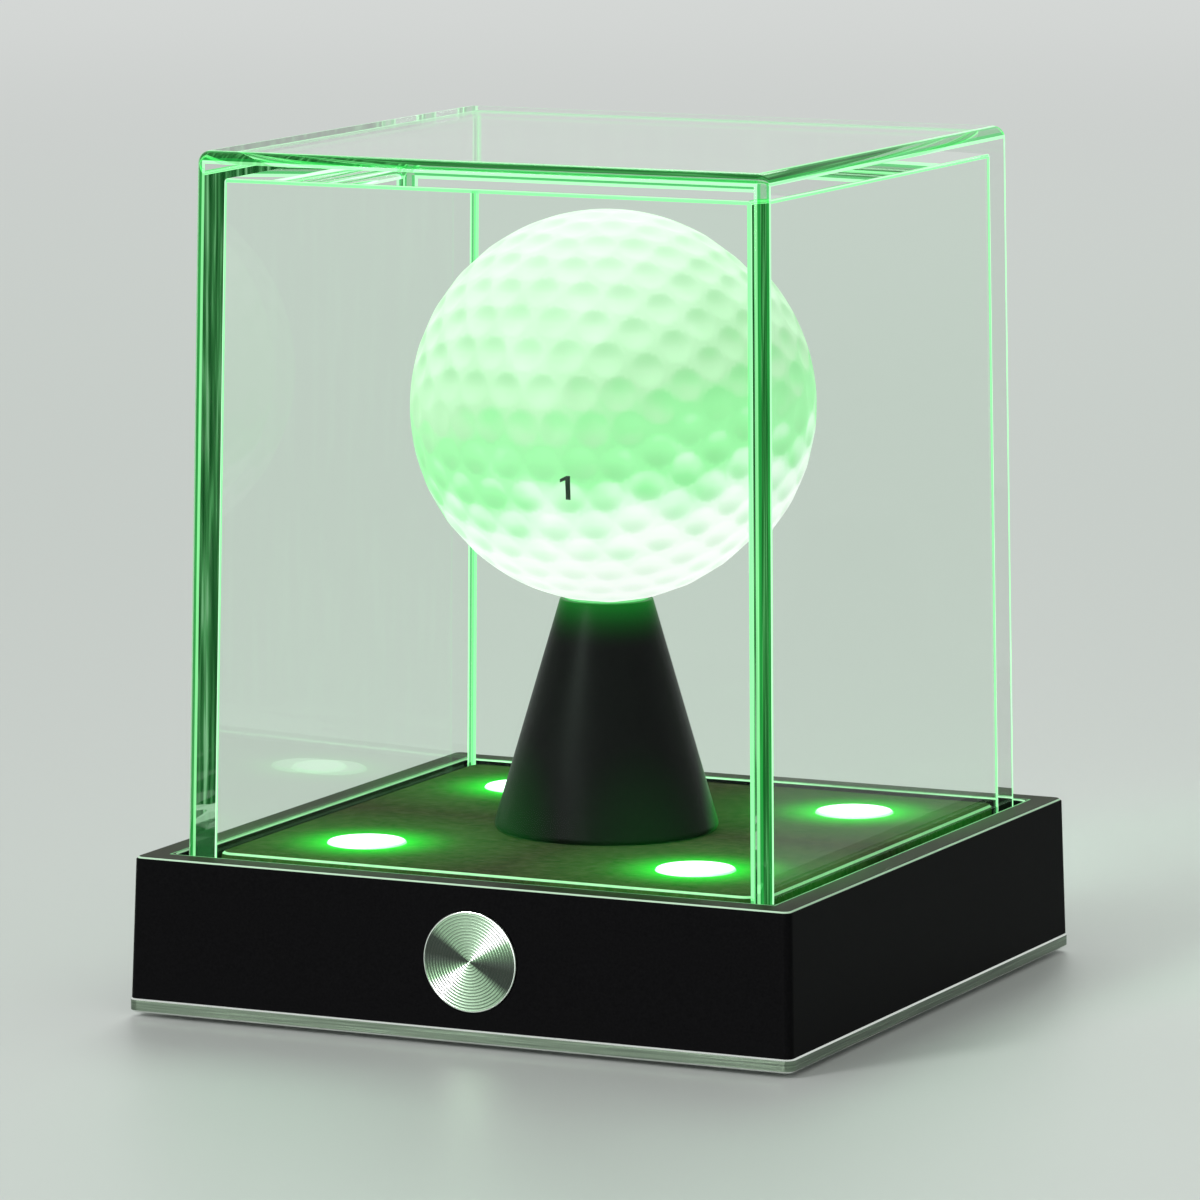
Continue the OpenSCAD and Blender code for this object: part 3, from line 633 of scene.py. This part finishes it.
def makeCover():
    low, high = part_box("cover")
    half, foot, top = high.x, low.z, high.z
    halfTop = half - coverShape["taper"]
    wall = coverShape["wall"]
    ceiling = top - coverShape["roof"]
    bm = bmesh.new()
    taperedBox(bm, half, halfTop, foot, top, coverShape["round"])
    markEdges(bm, False)
    inner = bmesh.new()
    taperedBox(inner, half - wall, halfTop - wall, foot, ceiling, coverShape["insideRound"])
    bmesh.ops.reverse_faces(inner, faces=inner.faces)
    markEdges(inner, True)
    mesh = bpy.data.meshes.new("inner")
    inner.to_mesh(mesh)
    inner.free()
    bm.from_mesh(mesh)
    bpy.data.meshes.remove(mesh)
    rims = [e for e in bm.edges if e.is_boundary]
    ring = bmesh.ops.bridge_loops(bm, edges=rims)["faces"]
    edge = bm.faces.layers.float["edge"]
    for face in ring:
        face[edge] = coverShape["footGlow"]
    bmesh.ops.recalc_face_normals(bm, faces=bm.faces)
    for face in bm.faces:
        face.smooth = face.calc_area() < 150 * mm * mm  # all but the walls and the roof
    makePiece("clearCover", bm, clearAcrylic(foot, ceiling), "cover", ["cover"])
    print("cover made")


makeCover()


# Ball with its dimples and a plain number

ballShape = {
    "rows": 6,  # dimple spacings along one edge of the icosahedron
    "dimpleRadius": 1.95 * mm,
    "dimpleDepth": 0.25 * mm,
    "subdivisions": 7,
    "numberPixel": (570, 488),  # middle of the printed number in the photo
    "numberHeight": 2.9 * mm,
    "numberOutline": (
        (0.09, -0.5), (0.09, 0.5), (-0.05, 0.5), (-0.29, 0.35), (-0.29, 0.22), (-0.09, 0.33), (-0.09, -0.5)),
    "ink": (0.03 * mm, -0.01 * mm),  # height of its face and its back over the cover
    "lean": (-0.17, -0.08, 1.0),  # the glow stands higher on one side
    "drift": 3 * mm,  # how far the clouds shift the glow up and down
    "lift": (3.4 * mm, -4.2 * mm),  # how far a dimple's upward and downward sides shift it
    "steep": 0.3,  # slope at which a dimple's side has its full effect
    "turn": (-3 * mm, 5 * mm),  # from the middle: where the dimples' bright side changes over
    "gain": (0.88, 1.03),  # strength of a dimple's dim and bright side
    "shade": 0.4,  # how green the dim side gets
    # the glow from the bottom to the top
    "tones": ((0.0, "#ffffff"), (0.17, "#fafffa"), (0.3, "#d8ffde"), (0.39, "#9cf8a6"), (0.47, "#96f09e"),
              (0.57, "#b4ebb4"), (0.7, "#c3f4c4"), (0.83, "#dafcdb"), (1.0, "#edffee")),
}


def dimplePoints():
    # a geodesic grid on the twenty faces of an icosahedron, spaced evenly by the sine of the angle
    golden = (1 + math.sqrt(5)) / 2
    rows = ballShape["rows"]
    step = math.atan(2) / rows
    bm = bmesh.new()
    for a in (-1, 1):
        for b in (-golden, golden):
            for corner in ((0, a, b), (a, b, 0), (b, 0, a)):
                bm.verts.new(corner)
    bmesh.ops.convex_hull(bm, input=bm.verts)
    faces = [[vert.co.copy() for vert in face.verts] for face in bm.faces]
    bm.free()
    points = {}
    for one, two, three in faces:
        for i in range(rows + 1):
            for j in range(rows + 1 - i):
                weights = [math.sin(count * step) for count in (i, j, rows - i - j)]
                point = (one * weights[0] + two * weights[1] + three * weights[2]).normalized()
                points[tuple(round(value, 4) for value in point)] = point
    return list(points.values())


def dimpleTree():
    points = dimplePoints()
    tree = KDTree(len(points))
    for index, point in enumerate(points):
        tree.insert(point, index)
    tree.balance()
    print("dimples:", len(points))
    return tree


def dimpleAt(tree, direction, radius):
    # depth share, 1 in the middle and 0 on the land, and how far the surface there faces down
    centre, _, distance = tree.find(direction)
    gap = distance * radius / ballShape["dimpleRadius"]
    if gap >= 1:
        return 0.0, 0.0
    share = (1 - gap * gap) ** 1.5
    slope = 3 * gap * math.sqrt(1 - gap * gap) * ballShape["dimpleDepth"] / ballShape["dimpleRadius"]
    return share, slope * (direction.z - centre.z) / max(distance, 1e-6)


def makeBall():
    low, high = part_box("golf_ball")
    centre = (low + high) / 2
    radius = (high.z - low.z) / 2
    tree = dimpleTree()
    bm = bmesh.new()
    bmesh.ops.create_icosphere(bm, subdivisions=ballShape["subdivisions"], radius=radius)
    underlit = bm.verts.layers.float.new("underlit")
    for vert in bm.verts:
        direction = vert.co.normalized()
        share, facing = dimpleAt(tree, direction, radius)
        vert[underlit] = facing
        vert.co = centre + direction * (radius - ballShape["dimpleDepth"] * share)
    for face in bm.faces:
        face.smooth = True
    makePiece("dimpledBall", bm, litBall(centre.z, radius), "ball", ["golf_ball"])
    makeNumber(tree, centre, radius)
    print("ball made")


def makeNumber(tree, centre, radius):
    # a plain figure 1, printed where the photo has it and wrapped on to the dimples
    tall = ballShape["numberHeight"]
    ray = pixelRay(camera, *ballShape["numberPixel"])
    eye = cameraView["place"]
    hits = intersect_line_sphere(eye, eye + ray.normalized() * 2, centre, radius)
    normal = (min(hits, key=lambda hit: (hit - eye).length) - centre).normalized()
    rise = normal.cross(camera.matrix_world.to_3x3() @ Vector((1, 0, 0))).normalized()
    side = rise.cross(normal)
    bm = bmesh.new()
    outline = [bm.verts.new((x * tall, y * tall, 0)) for x, y in ballShape["numberOutline"]]
    face = bm.faces.new(outline)
    face.normal_update()
    bmesh.ops.triangulate(bm, faces=[face])
    bmesh.ops.subdivide_edges(bm, edges=bm.edges, cuts=7, use_grid_fill=True)
    faceHeight, backHeight = ballShape["ink"]
    bmesh.ops.solidify(bm, geom=bm.faces, thickness=faceHeight - backHeight)
    for vert in bm.verts:
        direction = (normal * radius + side * vert.co.x + rise * vert.co.y).normalized()
        depth = ballShape["dimpleDepth"] * dimpleAt(tree, direction, radius)[0]
        lift = faceHeight if abs(vert.co.z) < 0.01 * mm else backHeight
        vert.co = centre + direction * (radius - depth + lift)
    bmesh.ops.recalc_face_normals(bm, faces=bm.faces)
    makePiece("printedNumber", bm, printInk(), "ball")


makeBall()


# Turned cone under the ball

coneShape = {
    "foot": 12.2 * mm,
    "top": 5.1 * mm,
    "footRound": 0.6 * mm,
    "topRound": 0.2 * mm,
    "bore": 4.55 * mm,
    "boreDepth": 4.5 * mm,
    "steps": 96,
    "crownGlow": (5 * mm, 2.5, 0.5),  # reach below the cup, how fast it fades, strength
    "spillReach": (15 * mm, 21.5 * mm, 1.6),  # full and gone this far from a lamp, how fast it fades
    # how much of each lamp's green it catches
    "spill": {"front_left": 0.15, "front_right": 0.05, "back_left": 0.55, "back_right": 1.0},
}


def arcPoints(centre, radius, start, end, count):
    # points on an arc in the (radius, height) plane, angles in degrees
    points = []
    for i in range(count + 1):
        angle = math.radians(start + (end - start) * i / count)
        points.append((centre[0] + radius * math.cos(angle), centre[1] + radius * math.sin(angle)))
    return points


def makeCone():
    low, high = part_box("stand_cone")
    shape = coneShape
    lean = math.degrees(math.atan2(shape["foot"] - shape["top"], high.z - low.z))
    footCentre = (shape["foot"] - shape["footRound"], low.z + shape["footRound"])
    topCentre = (shape["top"] - shape["topRound"], high.z - shape["topRound"])
    profile = [(shape["bore"], low.z)]
    profile += arcPoints(footCentre, shape["footRound"], -90, lean, 6)
    profile += arcPoints(topCentre, shape["topRound"], lean, 90, 6)
    shelf = high.z - shape["boreDepth"]
    profile += [(shape["bore"], high.z), (shape["bore"], shelf), (0, shelf)]
    bm = spinProfile(profile, Vector((0, 0, 0)), Vector((0, 0, 1)), shape["steps"])
    centres = {name: lampCentre(name) for name in lampNames}
    makePiece("turnedCone", bm, powderCoat(high.z, centres), "base", ["stand_cone"])
    print("cone made")


makeCone()


# Deck lamps

lensShape = {
    "crown": 0.22 * mm,  # how far the middle stands above the rim
    "rim": 0.3 * mm,
    "stem": 0.7,  # share of the radius
    "stemHeight": 1.0 * mm,
    "steps": 64,
}


def makeLens(name, material):
    low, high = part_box("lens_" + name)
    centre = lampCentre(name)
    radius = (high.x - low.x) / 2
    stem = radius * lensShape["stem"]
    shoulder = low.z + lensShape["stemHeight"]
    rim = lensShape["rim"]
    crown = lensShape["crown"]
    edge = high.z - crown - rim
    profile = [(0, low.z), (stem, low.z), (stem, shoulder), (radius, shoulder), (radius, edge)]
    profile += arcPoints((radius - rim, edge), rim, 15, 90, 4)
    for share in (0.75, 0.5, 0.25, 0.0):
        profile.append((radius * share, high.z - crown * share * share))
    centre.z = 0
    bm = spinProfile(profile, centre, Vector((0, 0, 1)), lensShape["steps"])
    outwards = bm.verts.layers.float.new("rim")
    for vert in bm.verts:
        vert[outwards] = (vert.co.xy - centre.xy).length / radius
    makePiece("lens" + name.title().replace("_", ""), bm, material, "base", ["lens_" + name])


def makeLamps():
    material = litLens()
    for name in lampNames:
        makeLens(name, material)
    print("lamps made")


makeLamps()


# Push button

buttonShape = {
    "ringPitch": 0.33 * mm,  # coarser than the real rings, so that they show
    "ringDepth": 0.03 * mm,
    # painted shade in the rings' grooves
    "ringShade": (0.4, 0.8),  # where a ring's wave starts to darken, and how dark it gets
    # painted highlight and shade: light and dark fans over half a turn, anticlockwise from +X
    "fans": ((0.0, "#4f5850"), (0.06, "#627862"), (0.15, "#86a786"), (0.215, "#ffffff"), (0.28, "#ffffff"),
             (0.33, "#c0dcc0"), (0.5, "#b4d2b4"), (0.76, "#9ab89a"), (0.83, "#444b45"), (0.95, "#3f453f"),
             (1.0, "#4f5850")),
    "ringSamples": 6,
    "edge": 0.16 * mm,
    "edgeKnee": 0.3,  # share of the edge, where its bend lies
    "steps": 128,
    "sharp": 0.6,  # radians between two faces from which their edge shows
}


def makeButton():
    low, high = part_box("button_cap")
    radius = (high.x - low.x) / 2
    depth = high.y - low.y
    centre = Vector(((low.x + high.x) / 2, low.y, (low.z + high.z) / 2))
    shape = buttonShape
    face = radius - shape["edge"]
    count = int(face / shape["ringPitch"] * shape["ringSamples"])
    profile = [(0, -depth), (radius, -depth)]
    knee = shape["edge"] * shape["edgeKnee"]
    profile += [(radius, -shape["edge"]), (radius - knee, -knee)]
    for i in range(count, -1, -1):
        r = face * i / count
        wave = 0.5 - 0.5 * math.cos(math.tau * (face - r) / shape["ringPitch"])
        profile.append((r, -shape["ringDepth"] * wave))
    bm = spinProfile(profile, centre, Vector((0, -1, 0)), shape["steps"])
    for edge in bm.edges:
        if len(edge.link_faces) == 2 and edge.calc_face_angle() > shape["sharp"]:
            edge.smooth = False
    makePiece("spunButton", bm, spunAluminium(centre, face), "button", ["button_cap"])
    print("button made")


makeButton()


# Finishes of the pieces that keep their CAD shape

def paintNodes():
    low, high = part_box("lens_front_left")
    centres = [lampCentre(name) for name in lampNames]
    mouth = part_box("cover")[1].x + mm  # half the rim's opening
    paint(satinHousing(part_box("base_housing")[1].z, mouth, centres), "base_housing")
    paint(mouldedAbs(), "bottom_cover", "battery_door", "button_stem", "switch_plunger", "switch_body")
    paint(grainedDeck(centres, (high.x - low.x) / 2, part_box("deck_panel")[1].z), "deck_panel")
    paint(polishedSteel(), "trim_band")
    paint(milkyCup(), "ball_seat")
    paint(softRubber(), "feet")
    paint(zincSteel(), "bottom_screws", "board_screws", "stand_screws", "battery_springs", "battery_contacts")
    paint(solderMask(), "led_board_front", "led_board_back", "stand_led_board", "switch_board")
    paint(leadSleeve(), "stand_lead", "battery_leads")
    paint(cellJacket(), "battery_cell_front", "battery_cell_middle", "battery_cell_back")
    paint(diodePackage(), "stand_led", *["led_" + name for name in lampNames])
    print("finishes set")


paintNodes()


# Floor, lamps and background

studio = {
    "floor": "#c9ccca",
    "floorSide": 12.0,
    "floorFade": (0.35, 1.6),  # metres from the middle
    "background": "#d4d7d5",
    "aim": (0, 0, 0.04),  # where the lamps point
    "sky": 0.72,  # strength of the light from all round, where what the camera sees is 1
    "lamps": {
        # place, size, watts, colour
        "key": ((-0.5, -1.0, 0.62), 0.3, 6.5, "#ffffff"),
        "fill": ((0.7, -0.6, 1.0), 0.8, 1.0, "#fff8f0"),
        "front": ((-0.16, -1.1, 0.1), 0.25, 2.2, "#ffffff"),
        "back": ((-0.3, 0.9, 0.9), 0.7, 4.5, "#f4fff6"),
    },
}


def makeFloor():
    # pale paint that fades into the backdrop far off, and is clear from below
    material, shader = newMaterial(
        "paintedFloor", BaseColor=hexColour(studio["floor"]), Roughness=0.45, IOR=1.45)
    near, far = studio["floorFade"]
    away = addNode(material, "VectorMath", {0: objectPoint(material)}, operation="LENGTH")
    fade = addNode(material, "MapRange", {
        "Value": away.outputs["Value"], "From Min": near, "From Max": far}, interpolation_type="SMOOTHSTEP")
    haze = addNode(material, "Emission", {"Color": hexColour(studio["background"])})
    ground = addNode(material, "MixShader", {
        0: fade.outputs["Result"], 1: shader.outputs["BSDF"], 2: haze.outputs["Emission"]})
    back = addNode(material, "NewGeometry")
    clear = addNode(material, "BsdfTransparent")
    mix = addNode(material, "MixShader", {
        0: back.outputs["Backfacing"], 1: ground.outputs["Shader"], 2: clear.outputs["BSDF"]})
    link(material, mix.outputs["Shader"], material.node_tree.nodes["Material Output"].inputs["Surface"])
    bm = bmesh.new()
    bmesh.ops.create_grid(bm, x_segments=1, y_segments=1, size=studio["floorSide"] / 2)
    mesh = bpy.data.meshes.new("floor")
    bm.to_mesh(mesh)
    bm.free()
    mesh.materials.append(material)
    floor = bpy.data.objects.new("floor", mesh)
    bpy.context.scene.collection.objects.link(floor)
    # it is left out of the light that reaches the case, so that the underside isn't black
    floor.visible_diffuse = False
    floor.visible_shadow = False


def makeLights():
    for name, (place, size, watts, colour) in studio["lamps"].items():
        data = bpy.data.lights.new(name, "AREA")
        data.shape = "DISK"
        data.size = size
        data.energy = watts
        data.color = hexColour(colour)[:3]
        lamp = bpy.data.objects.new(name, data)
        lamp.location = place
        lamp.rotation_euler = (Vector(studio["aim"]) - lamp.location).to_track_quat("-Z", "Y").to_euler()
        # through the clear cover it would show as a white disc
        lamp.visible_transmission = False
        bpy.context.scene.collection.objects.link(lamp)


def makeWorld():
    # a pale backdrop for what the camera, gloss and clear parts see, and softer light for the rest
    world = bpy.data.worlds.new("studio")
    world.use_nodes = True
    bpy.context.scene.world = world
    background = world.node_tree.nodes["Background"]
    path = addNode(world, "LightPath")
    seen = addNode(world, "Math", {
        0: path.outputs["Is Camera Ray"], 1: path.outputs["Is Glossy Ray"]}, operation="MAXIMUM")
    seen = addNode(world, "Math", {
        0: seen.outputs["Value"], 1: path.outputs["Is Transmission Ray"]}, operation="MAXIMUM")
    strength = addNode(world, "MapRange", {
        "Value": seen.outputs["Value"], "To Min": studio["sky"], "To Max": 1.0})
    background.inputs["Color"].default_value = hexColour(studio["background"])
    link(world, strength.outputs["Result"], background.inputs["Strength"])


makeFloor()
makeLights()
makeWorld()
bpy.context.scene.view_settings.view_transform = "Standard"
print("studio set")
